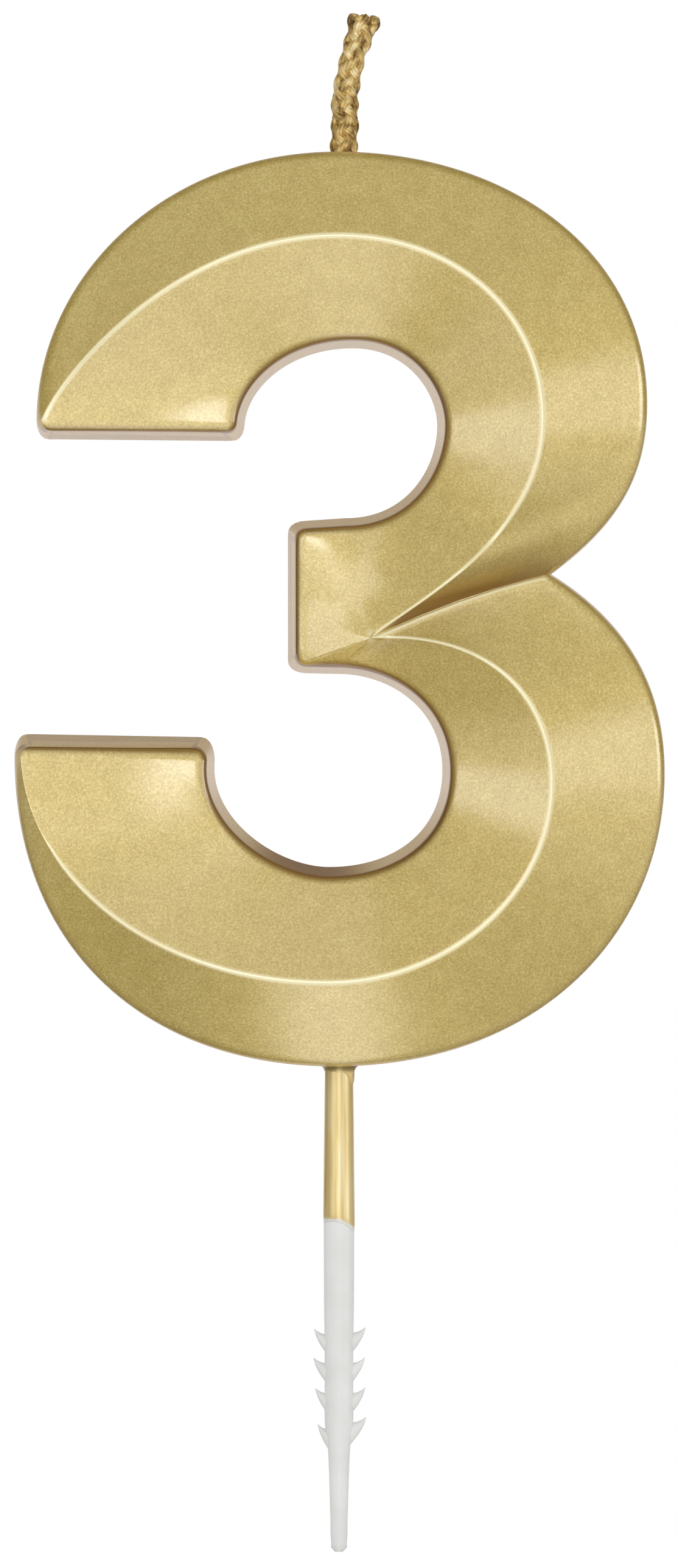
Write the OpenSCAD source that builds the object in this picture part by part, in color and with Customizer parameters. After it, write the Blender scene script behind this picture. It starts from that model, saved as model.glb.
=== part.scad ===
// Number candle: a bevelled numeral of wax under a metallic lacquer, with a wick and a barbed pick.
// Millimetres. X runs right, the front faces -Y, Z runs up the pick. Z = 0 is the cake's top.

/* [Numeral] */
// height of the numeral
body_h = 70; // [50:1:100]
// width of the numeral across its lower bowl
body_w = 49.6; // [36:0.2:72]
// depth of the side wall, back face to front edge
wall_t = 7; // [5.6:0.1:12]
// how far the ridge stands in front of the front edge
ridge_h = 3.6; // [1:0.1:6]
// steepest that the outer faces get, so the ridge sinks where they narrow
face_slope = 0.6; // [0.4:0.02:0.9]
// share of its height that the ridge loses where the strokes meet
apex_dip = 0.25; // [0:0.05:0.5]
// height of the prong's crease at its cut end
prong_end_h = 0.55; // [0.3:0.05:1.5]
// how far the walls inside the bowls spread towards the back
draft_in = 0.65; // [0.1:0.05:1]
// how far the outer walls spread towards the back
draft_out = 0.25; // [0:0.05:1]
// rounding of the front edge
edge_r = 0.45; // [0.2:0.05:0.8]
// rounding of the back edge
back_r = 0.6; // [0.2:0.05:1]
// rounding of the corners where a stroke is cut off
corner_r = 0.45; // [0.2:0.05:1]
// thickness of the lacquer
coat_t = 0.2; // [0.1:0.05:0.4]

/* [Wick] */
// wick's diameter in the wax
wick_d = 1.9; // [1:0.1:2.6]
// room round the wick in its hole
wick_clear = 0.05; // [0.02:0.01:0.2]
// wick standing above the numeral
wick_len = 10.4; // [4:0.1:20]
// wick inside the numeral
wick_depth = 11; // [4:0.5:12]
// how far the wick's top leans to the right
wick_lean = 1.5; // [0:0.1:4]
// diameter of the frayed top
wick_top_d = 2.8; // [1.6:0.1:4]

/* [Pick] */
// pick between the cake and the numeral
stem_h = 12; // [6:0.5:25]
// pick below the cake's top
stake_h = 25.4; // [20:0.1:40]
// diameter of the pick at the cake's top
stem_d = 2.4; // [2.2:0.05:3.2]
// diameter of the tang inside the wax
tang_d = 2.1; // [1.4:0.05:2.6]
// length of the tang inside the wax
tang_h = 10; // [5:0.5:11]
// room round the tang in its socket
socket_clear = 0.05; // [0.03:0.01:0.1]
// room above the tang's end
socket_end = 0.3; // [0.1:0.1:1]
// thickness of the lacquer on the pick
stem_coat_t = 0.06; // [0.04:0.01:0.2]
// height of the bead of lacquer round the socket's mouth
bead_h = 0.6; // [0.3:0.05:1.2]
// how far the bead spreads on the numeral
bead_w = 0.35; // [0.15:0.05:0.8]
// gap between the bead and the lacquer on the pick
bead_gap = 0.05; // [0.02:0.01:0.2]

/* [Barbs] */
// barbs on each side
barb_n = 4; // [2:1:5]
// spacing of the barbs
barb_pitch = 2.3; // [2.1:0.05:3]
// depth of the top barb's tip below the cake
barb_z = 8.2; // [4:0.1:10]
// reach of a barb from the pick's middle
barb_reach = 1.98; // [1.7:0.02:2.6]
// thickness of a barb, front to back
barb_t = 0.9; // [0.5:0.05:1.4]

/* [Hidden] */
$fn = 64;
seg = 16;
seg_c = 5;
seg_r = 4;

body_top = stem_h + body_h;
socket_r = tang_d / 2 + socket_clear;
wick_hole_r = wick_d / 2 + wick_clear;
wick_x = at(0.4, 0)[0];
bead_top = stem_h - draft_out / 2;
neck_r = stem_d / 2 - 0.1;

// a point of the outline: across and up from the middle of the numeral's bottom
function at(x, z) = [x * body_w / 49.6, stem_h + z * body_h / 70];

// a point of a cubic curve
function bz(p, t) = pow(1 - t, 3) * p[0] + 3 * t * pow(1 - t, 2) * p[1]
    + 3 * t * t * (1 - t) * p[2] + pow(t, 3) * p[3];
// quarter curves that leave upright and arrive level, and the other way; k = 0.552 is an ellipse
function rise(a, b, k) = [a, a + [0, k * (b[1] - a[1])], b - [k * (b[0] - a[0]), 0], b];
function turn(a, b, k) = [a, a + [k * (b[0] - a[0]), 0], b - [0, k * (b[1] - a[1])], b];
function line(a, b) = [a, a + (b - a) / 3, b - (b - a) / 3, b];
function run(p, n) = [for (i = [0 : n - 1]) bz(p, i / n)];
function runs(ps) = [for (p = ps) each run(p, seg)];
// the points inside a rounded corner
function corner(a, c, b) = [for (i = [1 : seg_r - 1]) let (t = i / seg_r)
    pow(1 - t, 2) * a + 2 * t * (1 - t) * c + t * t * b];
function unit(v) = v / norm(v);

// outside of the upper bowl, from the cut end over the top to the notch
end_a = at(-23.25, 48.65);
notch = at(15.9, 37.75);
up_out = [
    rise(end_a + [0, corner_r], at(0.4, 70), 0.57),
    turn(at(0.4, 70), at(23.45, 50.9), 0.568),
    [at(23.45, 50.9), at(23.45, 45.0), at(20.6, 40.3), notch]
];
// outside of the lower bowl, from the notch round to the lower cut end
end_l = at(-24.7, 24.8);
lo_out = [
    [notch, at(21.35, 34.9), at(24.8, 29.4), at(24.8, 22.95)],
    rise(at(24.8, 22.95), at(0, 0), 0.593),
    turn(at(0, 0), end_l - [0, corner_r], 0.604)
];
// inside of the lower bowl, from the lower cut end round to the prong
end_c = at(-10.4, 24.55);
prong_q = at(-3.3, 30.75);
lo_in = [
    rise(end_c - [0, corner_r], at(-0.3, 14.55), 0.565),
    turn(at(-0.3, 14.55), at(8.6, 23), 0.605),
    rise(at(8.6, 23), at(-0.1, 30.7), 0.565)
];
lo_prong = line(at(-0.1, 30.7), prong_q + [corner_r, 0]);
// inside of the upper bowl, from the prong round to the upper cut end
prong_r = at(-3.3, 41.15);
end_b = at(-8.05, 48.5);
up_prong = line(prong_r + [corner_r, 0], at(0.55, 41.3));
up_in = [
    turn(at(0.55, 41.3), at(8.15, 48.95), 0.561),
    rise(at(8.15, 48.95), at(1.05, 55.65), 0.555),
    turn(at(1.05, 55.65), end_b + [0, corner_r], 0.569)
];

// ridge of the upper stroke, of the lower stroke and of the prong, which meet at the apex
apex = at(2.7, 33.25);
tip_a = at(-22.6, 48.65);
tip_l = at(-24.05, 24.8);
tip_q = at(-3.3, 31.6);
up_ridge = concat(runs([
    [tip_a, at(-23.2, 51.3), at(-12.7, 63.6), at(0, 63.6)],
    [at(0, 63.6), at(8.7, 63.6), at(15.55, 57.85), at(15.55, 49.55)],
    [at(15.55, 49.55), at(15.55, 40.4), at(6.3, 35.55), apex]
]), [apex]);
lo_ridge = concat(runs([
    [apex, at(12.4, 32.75), at(16.25, 27.6), at(16.25, 21.85)],
    [at(16.25, 21.85), at(16.25, 12.8), at(7.75, 6.5), at(-0.8, 6.5)],
    [at(-0.8, 6.5), at(-14.2, 6.5), at(-24, 15.15), tip_l]
]), [tip_l]);
crease = concat(run([apex, at(1.2, 32.5), at(-1.2, 32), tip_q], seg_c), [tip_q]);

// ridge height where the outer face is w wide, d away from the apex
dip_reach = 6;
function ridge_at_width(w, d) = pow(pow(ridge_h, -8) + pow(face_slope * w, -8), -1 / 8)
    * (1 - apex_dip * exp(-pow(d / dip_reach, 2)));
function lifted(line, outer) = [for (i = [0 : len(line) - 1])
    [line[i][0], line[i][1], ridge_at_width(norm(outer[i] - line[i]), norm(line[i] - apex))]];
up_lifted = lifted(up_ridge, concat(runs(up_out), [notch]));
lo_lifted = lifted(lo_ridge, concat(runs(lo_out), [lo_out[2][3]]));
apex_h = up_lifted[3 * seg][2];
ridge = concat(
    up_lifted,
    [for (i = [1 : 3 * seg]) lo_lifted[i]],
    [for (i = [1 : seg_c]) [crease[i][0], crease[i][1], apex_h + (prong_end_h - apex_h) * i / seg_c]]
);
// places in that list: the ends and the apex
r_a = 0;
r_p = 3 * seg;
r_l = 6 * seg;
r_q = 6 * seg + seg_c;

// the outline, clockwise from the front: [point, draft, edge height, its place on the ridge, next place]
function row(l, d, places) = [for (i = [0 : len(l) - 1]) [l[i], d, 0, places[i], -1]];
function same(n, v) = [for (i = [1 : n]) v];
function count(a, b, s) = [for (i = [a : s : b]) i];
// three of its points lie inside the socket's mouth
r_key = 5 * seg;
i_key = 5 * seg + 1;
key_t = 0.5 * socket_r / (3 * norm(lo_out[2][1] - lo_out[2][0]));
key_y = 0.5 * socket_r;
mid_d = (draft_in + draft_out) / 2;
arcs = seg_r - 1;
loop = concat(
    row(runs(up_out), draft_out, count(r_a, r_p - 1, 1)),
    row(runs([lo_out[0], lo_out[1]]), draft_out, count(r_p, r_key - 1, 1)),
    row([bz(lo_out[1], 1 - key_t), lo_out[2][0], bz(lo_out[2], key_t)], draft_out, same(3, r_key)),
    row([for (i = [1 : seg - 1]) bz(lo_out[2], i / seg)], draft_out, count(r_key + 1, r_l - 1, 1)),
    [[end_l - [0, corner_r], draft_out, 0, r_l, -1]],
    row(corner(end_l - [0, corner_r], end_l, end_l + [corner_r, 0]), mid_d, same(arcs, r_l)),
    [[tip_l, draft_in, ridge[r_l][2], r_l, r_l - 1]],
    [[end_c - [corner_r, 0], draft_in, 0, r_l, -1]],
    row(corner(end_c - [corner_r, 0], end_c, end_c - [0, corner_r]), draft_in, same(arcs, r_l)),
    row(runs(lo_in), draft_in, count(r_l, r_p + 1, -1)),
    row(run(lo_prong, seg_c), draft_in, concat([r_p], count(r_l + 1, r_q - 1, 1))),
    [[prong_q + [corner_r, 0], draft_in, 0, r_q, -1]],
    row(corner(prong_q + [corner_r, 0], prong_q, prong_q + [0, corner_r]), draft_in, same(arcs, r_q)),
    [[tip_q, draft_in, ridge[r_q][2], r_q, r_q - 1]],
    [[prong_r - [0, corner_r], draft_in, 0, r_q, -1]],
    row(corner(prong_r - [0, corner_r], prong_r, prong_r + [corner_r, 0]), draft_in, same(arcs, r_q)),
    row(run(up_prong, seg_c), draft_in, count(r_q, r_l + 1, -1)),
    row(runs(up_in), draft_in, count(r_p, r_a + 1, -1)),
    [[end_b + [0, corner_r], draft_in, 0, r_a, -1]],
    row(corner(end_b + [0, corner_r], end_b, end_b - [corner_r, 0]), draft_in, same(arcs, r_a)),
    [[end_b - [corner_r, 0], draft_in, 0, r_a, -1]],
    [[tip_a, draft_in, ridge[r_a][2], r_a, r_a + 1]],
    row(corner(end_a + [corner_r, 0], end_a, end_a + [0, corner_r]), mid_d, same(arcs, r_a))
);
n = len(loop);
// the points where the ridge's ends meet the outline
n_a = search([r_a + 1], [for (e = loop) e[4]])[0];
n_l = search([r_l - 1], [for (e = loop) e[4]])[0];
n_q = search([r_q - 1], [for (e = loop) e[4]])[0];

// outward direction at each point, longer at a corner so that an offset stays even
function side(a, b) = let (v = unit(b - a)) [-v[1], v[0]];
out = [for (i = [0 : n - 1]) let (
    u = side(loop[(i + n - 1) % n][0], loop[i][0]),
    v = side(loop[i][0], loop[(i + 1) % n][0]))
    (u + v) / (1 + u * v)];

function spot(xz, y) = [xz[0], y, xz[1]];
function mean(l) = [for (k = [0 : 2]) [for (p = l) 1] * [for (p = l) p[k]] / len(l)];
// a point of the wall: outward from the outline, and behind the front edge
function wall(i, o, y) = spot(loop[i][0] + out[i] * o, y);

// the numeral's points when its whole skin is c further in
function skin(c) =
    let (
        y0 = c - wall_t / 2,
        y1 = wall_t / 2 - c,
        slope = [for (e = loop) e[1] / wall_t],
        sharp = [for (i = [0 : n - 1]) wall(i, -c - slope[i] * loop[i][2], y0 - loop[i][2])],
        top = [for (r = ridge) spot([r[0], r[1]], y0 - r[2])],
        inset = [for (i = [0 : n - 1]) let (
            to = top[loop[i][4] < 0 ? loop[i][3] : loop[i][4]] - sharp[i])
            sharp[i] + unit(to) * min(edge_r, 0.35 * norm(to))],
        under = [for (i = [0 : n - 1])
            wall(i, -c - slope[i] * (loop[i][2] - edge_r), y0 - loop[i][2] + edge_r)],
        fore = [for (i = [0 : n - 1]) wall(i, slope[i] * (wall_t / 2 - key_y) - c, -key_y)],
        rear = [for (i = [0 : n - 1]) wall(i, slope[i] * (wall_t / 2 + key_y) - c, key_y)],
        low = [for (i = [0 : n - 1]) wall(i, loop[i][1] * (1 - back_r / wall_t) - c, y1 - back_r)],
        base = [for (i = [0 : n - 1]) wall(i, loop[i][1] - back_r - c, y1)],
        brim = [for (i = [0 : n - 1]) wall(i, loop[i][1] - c, y1)],
        spine = [for (r = [0 : len(ridge) - 1])
            mean([for (i = [0 : n - 1]) if (loop[i][3] == r) base[i]])]
    )
    concat(
        inset,
        [for (i = [0 : n - 1]) inset[i] / 4 + sharp[i] / 2 + under[i] / 4],
        under,
        fore,
        rear,
        low,
        [for (i = [0 : n - 1]) low[i] / 4 + brim[i] / 2 + base[i] / 4],
        base,
        top,
        spine
    );

// where each point of the front ring and of the ridge is in that list
function ring_at(i) = loop[i][4] < 0 ? i : 8 * n + loop[i][3];
function ridge_at(i) = 8 * n + loop[i][3];
function flat3(t) = t[0] == t[1] || t[1] == t[2] || t[0] == t[2];
front_faces = [for (i = [0 : n - 1]) let (j = (i + 1) % n)
    each [for (t = [[ring_at(i), ring_at(j), ridge_at(j)], [ring_at(i), ridge_at(j), ridge_at(i)]])
        if (!flat3(t)) t]];
function side_faces(open) = [for (k = [0 : 6]) each [for (i = [0 : n - 1]) let (
    j = (i + 1) % n,
    a = k == 0 ? ring_at(i) : k * n + i,
    b = k == 0 ? ring_at(j) : k * n + j)
    if (!(open && k == 3 && (i == i_key || i == i_key - 1)))
    each [[a, (k + 1) * n + i, (k + 1) * n + j], [a, (k + 1) * n + j, b]]]];
// the back is split up as the front is, along a line midway across the stroke
function back_at(i) = i < n ? 7 * n + i
    : i == 8 * n + r_a ? 7 * n + n_a : i == 8 * n + r_l ? 7 * n + n_l : i == 8 * n + r_q ? 7 * n + n_q
    : i + len(ridge);
back_faces = [for (f = front_faces) [back_at(f[2]), back_at(f[1]), back_at(f[0])]];
function faces(open) = concat(front_faces, side_faces(open), back_faces);
// the edge of the opening in the socket's mouth
key_rim = [3 * n + i_key - 1, 4 * n + i_key - 1, 4 * n + i_key, 4 * n + i_key + 1,
    3 * n + i_key + 1, 3 * n + i_key];

// the ridge's ends give way to the rounded front edge
function rounded_ends(p) = [for (i = [0 : len(p) - 1])
    i == 8 * n + r_a ? p[n_a] : i == 8 * n + r_l ? p[n_l] : i == 8 * n + r_q ? p[n_q] : p[i]];

module numeral(c) {
    polyhedron(rounded_ends(skin(c)), faces(false), 10);
}

// outer and inner skin in one surface, joined inside the socket's mouth
module shell(c) {
    outer = rounded_ends(skin(0));
    m = len(outer);
    polyhedron(
        concat(outer, rounded_ends(skin(c))),
        concat(
            faces(true),
            [for (f = faces(true)) [for (i = [len(f) - 1 : -1 : 0]) m + f[i]]],
            [for (i = [0 : 5]) let (p = key_rim[i], q = key_rim[(i + 1) % 6])
                each [[p, q, m + q], [p, m + q, m + p]]]
        ), 10);
}

// the holes start this far outside the numeral, to cut cleanly
clean_cut = 3;

module holes() {
    translate([0, 0, stem_h - clean_cut])
        cylinder(r = socket_r, h = clean_cut + tang_h + socket_end);
    translate([wick_x, 0, body_top - wick_depth])
        cylinder(r = wick_hole_r, h = wick_depth + clean_cut);
}

module wax_body() {
    color([0.95, 0.92, 0.84])
    difference() {
        numeral(coat_t);
        holes();
    }
}

module gold_coat() {
    color([0.80, 0.66, 0.34])
    difference() {
        shell(coat_t);
        holes();
    }
}

// the wick's middle and radius at each height: straight in the wax, leaning above it, frayed at the top
function wick_ring(z, lean, d) = [[wick_x + lean * wick_lean, z], d / 2];
wick_path = [
    wick_ring(body_top - wick_depth + 0.2, 0, wick_d),
    wick_ring(body_top + 0.3, 0, wick_d),
    wick_ring(body_top + 0.28 * wick_len, 0.02, wick_d),
    wick_ring(body_top + 0.45 * wick_len, 0.1, wick_d * 0.98),
    wick_ring(body_top + 0.62 * wick_len, 0.3, wick_d * 0.96),
    wick_ring(body_top + 0.77 * wick_len, 0.57, wick_d),
    wick_ring(body_top + 0.9 * wick_len, 0.85, (wick_d + wick_top_d) / 2),
    wick_ring(body_top + wick_len, 1, wick_top_d)
];
wick_n = 16;

module wick() {
    m = len(wick_path);
    color([0.72, 0.58, 0.30])
    polyhedron(
        [for (w = wick_path) each [for (i = [0 : wick_n - 1]) let (a = -360 * i / wick_n)
            [w[0][0] + w[1] * cos(a), w[1] * sin(a), w[0][1]]]],
        concat(
            [[for (i = [wick_n - 1 : -1 : 0]) i]],
            [for (k = [0 : m - 2]) each [for (i = [0 : wick_n - 1]) let (j = (i + 1) % wick_n)
                each [[k * wick_n + i, k * wick_n + j, (k + 1) * wick_n + j],
                    [k * wick_n + i, (k + 1) * wick_n + j, (k + 1) * wick_n + i]]]],
            [[for (i = [0 : wick_n - 1]) (m - 1) * wick_n + i]]
        ), 10);
}

// one barb in the XZ plane, its tip at z = 0 pointing up: hollow above, full below
module barb() {
    root = stem_d / 2 - 0.14;
    tip = [barb_reach, 0];
    function q(a, c, b) = [for (i = [0 : 6]) let (t = i / 6)
        pow(1 - t, 2) * a + 2 * t * (1 - t) * c + t * t * b];
    rotate([90, 0, 0])
        linear_extrude(barb_t, center = true)
            polygon(concat(
                [[0.3, -0.5]],
                q([root, -0.45], [(root + barb_reach) / 2, -0.55], tip),
                q(tip, [barb_reach - 0.12, -0.95], [root - 0.15, -2.05]),
                [[0.3, -2.05]]));
}

barb_end = barb_z + (barb_n - 1) * barb_pitch + 2.05;

module pick() {
    tip_h = stake_h - barb_end;
    color([0.93, 0.93, 0.91]) {
        rotate_extrude()
            polygon([
                [0, stem_h + tang_h],
                [tang_d / 2 - 0.35, stem_h + tang_h],
                [tang_d / 2, stem_h + tang_h - 0.6],
                [tang_d / 2, bead_top - bead_h - bead_gap],
                [neck_r, bead_top - bead_h - bead_gap],
                [stem_d / 2, 0],
                [stem_d / 2 - 0.06, -0.6 * barb_z],
                [stem_d / 2 - 0.14, -barb_z - 1],
                [stem_d / 2 - 0.16, 1.6 - barb_end],
                [stem_d / 2 - 0.3, -barb_end],
                [stem_d / 2 - 0.42, -barb_end - 0.35 * tip_h],
                [stem_d / 2 - 0.55, -barb_end - 0.7 * tip_h],
                [stem_d / 2 - 0.68, -barb_end - 0.87 * tip_h],
                [stem_d / 2 - 0.9, -barb_end - 0.97 * tip_h],
                [0, -stake_h]
            ]);
        for (i = [0 : barb_n - 1])
            translate([0, 0, -barb_z - i * barb_pitch]) {
                barb();
                mirror([1, 0, 0]) barb();
            }
    }
}

module pick_coat() {
    top = bead_top - bead_h - bead_gap;
    color([0.80, 0.66, 0.34])
    rotate_extrude()
        polygon([
            [neck_r, top],
            [neck_r + stem_coat_t, top],
            [stem_d / 2 + stem_coat_t, 0],
            [stem_d / 2, 0]
        ]);
}

// the bead's top lies along the wall's slope
module seal_bead() {
    color([0.80, 0.66, 0.34])
    difference() {
        rotate_extrude()
            polygon([
                [socket_r, bead_top - bead_h],
                [socket_r + 0.1, bead_top - bead_h],
                [socket_r + 0.1 + 0.25 * bead_w, bead_top - 0.45 * bead_h],
                [socket_r + 0.1 + bead_w, bead_top],
                [socket_r + 0.1 + bead_w, bead_top + 0.3],
                [socket_r, bead_top + 0.3]
            ]);
        translate([0, 0, bead_top])
            rotate([-atan(draft_out / wall_t), 0, 0])
                translate([-5, -5, 0])
                    cube([10, 10, 2]);
    }
}

wax_body();
gold_coat();
wick();
pick();
pick_coat();
seal_bead();
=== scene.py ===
import math

import bmesh
import bpy
import numpy as np
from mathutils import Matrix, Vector


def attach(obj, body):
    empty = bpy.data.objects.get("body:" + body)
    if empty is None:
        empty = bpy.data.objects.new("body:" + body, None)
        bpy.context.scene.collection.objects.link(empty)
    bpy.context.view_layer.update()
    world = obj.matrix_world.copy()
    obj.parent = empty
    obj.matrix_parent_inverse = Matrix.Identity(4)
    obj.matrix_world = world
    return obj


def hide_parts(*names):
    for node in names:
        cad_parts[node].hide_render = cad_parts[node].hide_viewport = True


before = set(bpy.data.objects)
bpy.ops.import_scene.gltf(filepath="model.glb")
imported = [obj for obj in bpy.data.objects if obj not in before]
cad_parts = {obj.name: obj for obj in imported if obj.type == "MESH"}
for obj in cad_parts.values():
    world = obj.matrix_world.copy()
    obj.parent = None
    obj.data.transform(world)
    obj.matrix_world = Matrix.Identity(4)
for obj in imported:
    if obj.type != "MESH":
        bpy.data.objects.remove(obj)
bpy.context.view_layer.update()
mm = 0.001
print("frame loaded:", sorted(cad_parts))


def addNode(tree, kind, inputs=None, **props):
    made = tree.nodes.new(kind)
    for key, value in props.items():
        setattr(made, key, value)
    for key, value in (inputs or {}).items():
        if isinstance(value, bpy.types.NodeSocket):
            tree.links.new(value, made.inputs[key])
        else:
            made.inputs[key].default_value = value
    return made


def math2(tree, how, a, b=0.0, c=0.0):
    return addNode(tree, "ShaderNodeMath", {0: a, 1: b, 2: c}, operation=how).outputs[0]


def spread(tree, value, low, high, toLow, toHigh, kind="LINEAR"):
    return addNode(tree, "ShaderNodeMapRange", {"Value": value, "From Min": low, "From Max": high,
        "To Min": toLow, "To Max": toHigh}, interpolation_type=kind).outputs["Result"]


def eased(tree, value, span, low=0.0, high=1.0):
    return spread(tree, value, *span, low, high, "SMOOTHSTEP")


def noise(tree, where, scale, detail=2.0, rough=0.5):
    return addNode(tree, "ShaderNodeTexNoise", {"Vector": where, "Scale": scale, "Detail": detail,
        "Roughness": rough}).outputs["Fac"]


def marked(tree, name):
    return addNode(tree, "ShaderNodeAttribute", attribute_name=name).outputs["Fac"]


def blend(tree, share, a, b):
    a, b = (c if isinstance(c, bpy.types.NodeSocket) else (*c, 1) for c in (a, b))
    return addNode(tree, "ShaderNodeMix", {"Factor": share, 6: a, 7: b}, data_type="RGBA").outputs[2]


def roughen(tree, shader, height, strength, distance=0.00005):
    bump = addNode(tree, "ShaderNodeBump", {"Height": height, "Strength": strength, "Distance": distance})
    tree.links.new(bump.outputs["Normal"], shader.inputs["Normal"])


def colourSteps(tree, value, steps):
    ramp = addNode(tree, "ShaderNodeValToRGB", {"Fac": value})
    while len(ramp.color_ramp.elements) < len(steps):
        ramp.color_ramp.elements.new(0.5)
    for element, (place, colour) in zip(ramp.color_ramp.elements, steps):
        element.position = place
        element.color = (*colour, 1)
    return ramp.outputs["Color"]


def newFinish(name, **sockets):
    finish = bpy.data.materials.new(name)
    finish.use_nodes = True
    tree = finish.node_tree
    shader = tree.nodes["Principled BSDF"]
    for key, value in sockets.items():
        shader.inputs[key.replace("_", " ")].default_value = value
    return finish, tree, shader


def newObject(name, data):
    made = bpy.data.objects.new(name, data)
    bpy.context.scene.collection.objects.link(made)
    return made


def turns(count):
    return np.linspace(0, 2 * math.pi, count, endpoint=False)


def ringFaces(rings, count, start=0, closed=False):
    faces = []
    for r in range(rings if closed else rings - 1):
        p, q = start + r * count, start + (r + 1) % rings * count
        for j in range(count):
            k = (j + 1) % count
            faces.append((p + j, p + k, q + k, q + j))
    return faces


def meshPiece(name, points, faces, finish, weld=0.0, marks=None):
    shape = bpy.data.meshes.new(name)
    build = bmesh.new()
    layers = [(build.verts.layers.float.new(label), values) for label, values in (marks or {}).items()]
    made = [build.verts.new(p) for p in points]
    for layer, values in layers:
        for vert, value in zip(made, values):
            vert[layer] = value
    for face in faces:
        if len(set(face)) > 2:
            build.faces.new([made[i] for i in face])
    bmesh.ops.remove_doubles(build, verts=build.verts, dist=weld)
    bmesh.ops.dissolve_degenerate(build, edges=build.edges, dist=weld)
    bmesh.ops.recalc_face_normals(build, faces=build.faces)
    build.to_mesh(shape)
    build.free()
    shape.shade_smooth()
    shape.materials.append(finish)
    return newObject(name, shape)


def bakeModifiers(piece):
    bpy.context.view_layer.update()
    graph = bpy.context.evaluated_depsgraph_get()
    plain = bpy.data.meshes.new_from_object(piece.evaluated_get(graph), depsgraph=graph)
    plain.name = piece.name
    if piece.type == "MESH":
        piece.modifiers.clear()
        piece.data = plain
        return piece
    name = piece.name
    bpy.data.objects.remove(piece)
    return newObject(name, plain)


def place(piece, body, slot, *nodes):
    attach(piece, body)
    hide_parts(*nodes)


# camera, a little above the middle of the candle

view = {"away": 1.2, "front": -0.0035, "height": 0.03365, "tall": 0.12004, "raised": 0.022,
    "sensor": 36, "farthest": 20}
camera = newObject("photoCamera", bpy.data.cameras.new("photoCamera"))
camera.data.sensor_width = view["sensor"]
camera.data.lens = view["sensor"] * view["away"] / view["tall"]
camera.data.clip_end = view["farthest"]
camera.location = (0, view["front"] - view["away"], view["height"] + view["raised"])
camera.rotation_euler = (math.pi / 2 - math.atan(view["raised"] / view["away"]), 0, 0)
bpy.context.scene.camera = camera
bpy.context.scene.view_settings.view_transform = "Standard"
print("camera set")


# gold lacquer on the numeral: metal flake under a clear satin film

# the ridge colour is a painted highlight, the edge colour a painted shade
lacquer = {"dark": (0.61, 0.435, 0.10), "middle": (0.775, 0.58, 0.155), "light": (0.96, 0.77, 0.285),
    "ridge": (1.0, 0.89, 0.51), "edge": (0.28, 0.14, 0.015), "flake": 6000, "patch": 650, "patchShare": 0.2,
    "lowCoatWeight": 0.15}


def lacquerFinish():
    finish, tree, shader = newFinish("goldLacquer", Metallic=0.4, IOR=1.5, Coat_Roughness=0.17, Coat_IOR=2.18)
    coords = addNode(tree, "ShaderNodeTexCoord").outputs["Object"]
    flake = noise(tree, coords, lacquer["flake"], 3.0, 0.65)
    flake = math2(tree, "ADD", flake, -lacquer["patchShare"] / 2)
    mixed = math2(tree, "MULTIPLY_ADD", noise(tree, coords, lacquer["patch"]), lacquer["patchShare"], flake)
    gold = colourSteps(tree, mixed, [(0.30, lacquer["dark"]), (0.5, lacquer["middle"]), (0.72, lacquer["light"])])
    # painted highlight on the ridges and valley line, painted shade on edges, groove and under the ridge, and less coat
    # where the low-coat mark is
    for label in ("ridge", "edge"):
        gold = blend(tree, marked(tree, label + "Mark"), gold, lacquer[label])
    tree.links.new(gold, shader.inputs["Base Color"])
    coat = spread(tree, marked(tree, "poolMark"), 0, 1, 1.0, lacquer["lowCoatWeight"])
    tree.links.new(coat, shader.inputs["Coat Weight"])
    tree.links.new(spread(tree, mixed, 0.3, 0.7, 0.48, 0.40), shader.inputs["Roughness"])
    roughen(tree, shader, mixed, 0.14)
    return finish


goldLacquer = lacquerFinish()


# numeral: three bevelled strokes, each a ridge between two outlines

numeral = {"bottom": 12.0, "wall": 7.0, "ridge": 3.6, "steepest": 0.6, "endHeight": 1.3, "apexDip": 0.35,
    "upperDip": 4.2, "lowerDip": 6.0, "draftIn": 0.65, "draftOut": 0.14, "edge": 0.6, "backEdge": 0.6,
    "edgeShare": 0.42, "leastLean": 0.5, "corner": 0.85, "capEdge": 0.6, "ridgeLand": 0.37, "landCorner": 0.13,
    "landShare": 0.3, "landDeep": (0.86, 0.93), "creaseLand": 1.3, "ridgeEnd": 0.88, "ridgeFade": 0.06, "endLand": 0.85,
    "valleyBow": 0.43, "bowUpper": 0.14, "bowLower": 0.12, "mitreReach": 0.5, "apexRound": 0.45,
    "lip": [(-0.5, 0), (-0.08, 0.13), (0.1, -0.05), (0.5, 0)], "lipEnds": (0.06, 0.04), "rows": 46, "prongRows": 24,
    "outlinePoints": 60, "wideFacet": 20, "creaseReach": 2.5, "rowBias": 1.7, "weld": 0.004,
    "socketRadius": 1.08, "socketFoot": 8, "socketTop": 22.4}


def straight(a, b):
    a, b = np.array(a, float), np.array(b, float)
    return np.array([a, a + (b - a) / 3, a + (b - a) * 2 / 3, b])


def curve(*points):
    return np.array(points, float)


def along(c, t):
    return (1 - t) ** 3 * c[0] + 3 * (1 - t) ** 2 * t * c[1] + 3 * (1 - t) * t * t * c[2] + t ** 3 * c[3]


def heading(c, t):
    d = (1 - t) ** 2 * (c[1] - c[0]) + 2 * (1 - t) * t * (c[2] - c[1]) + t * t * (c[3] - c[2])
    return d / np.linalg.norm(d)


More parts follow.
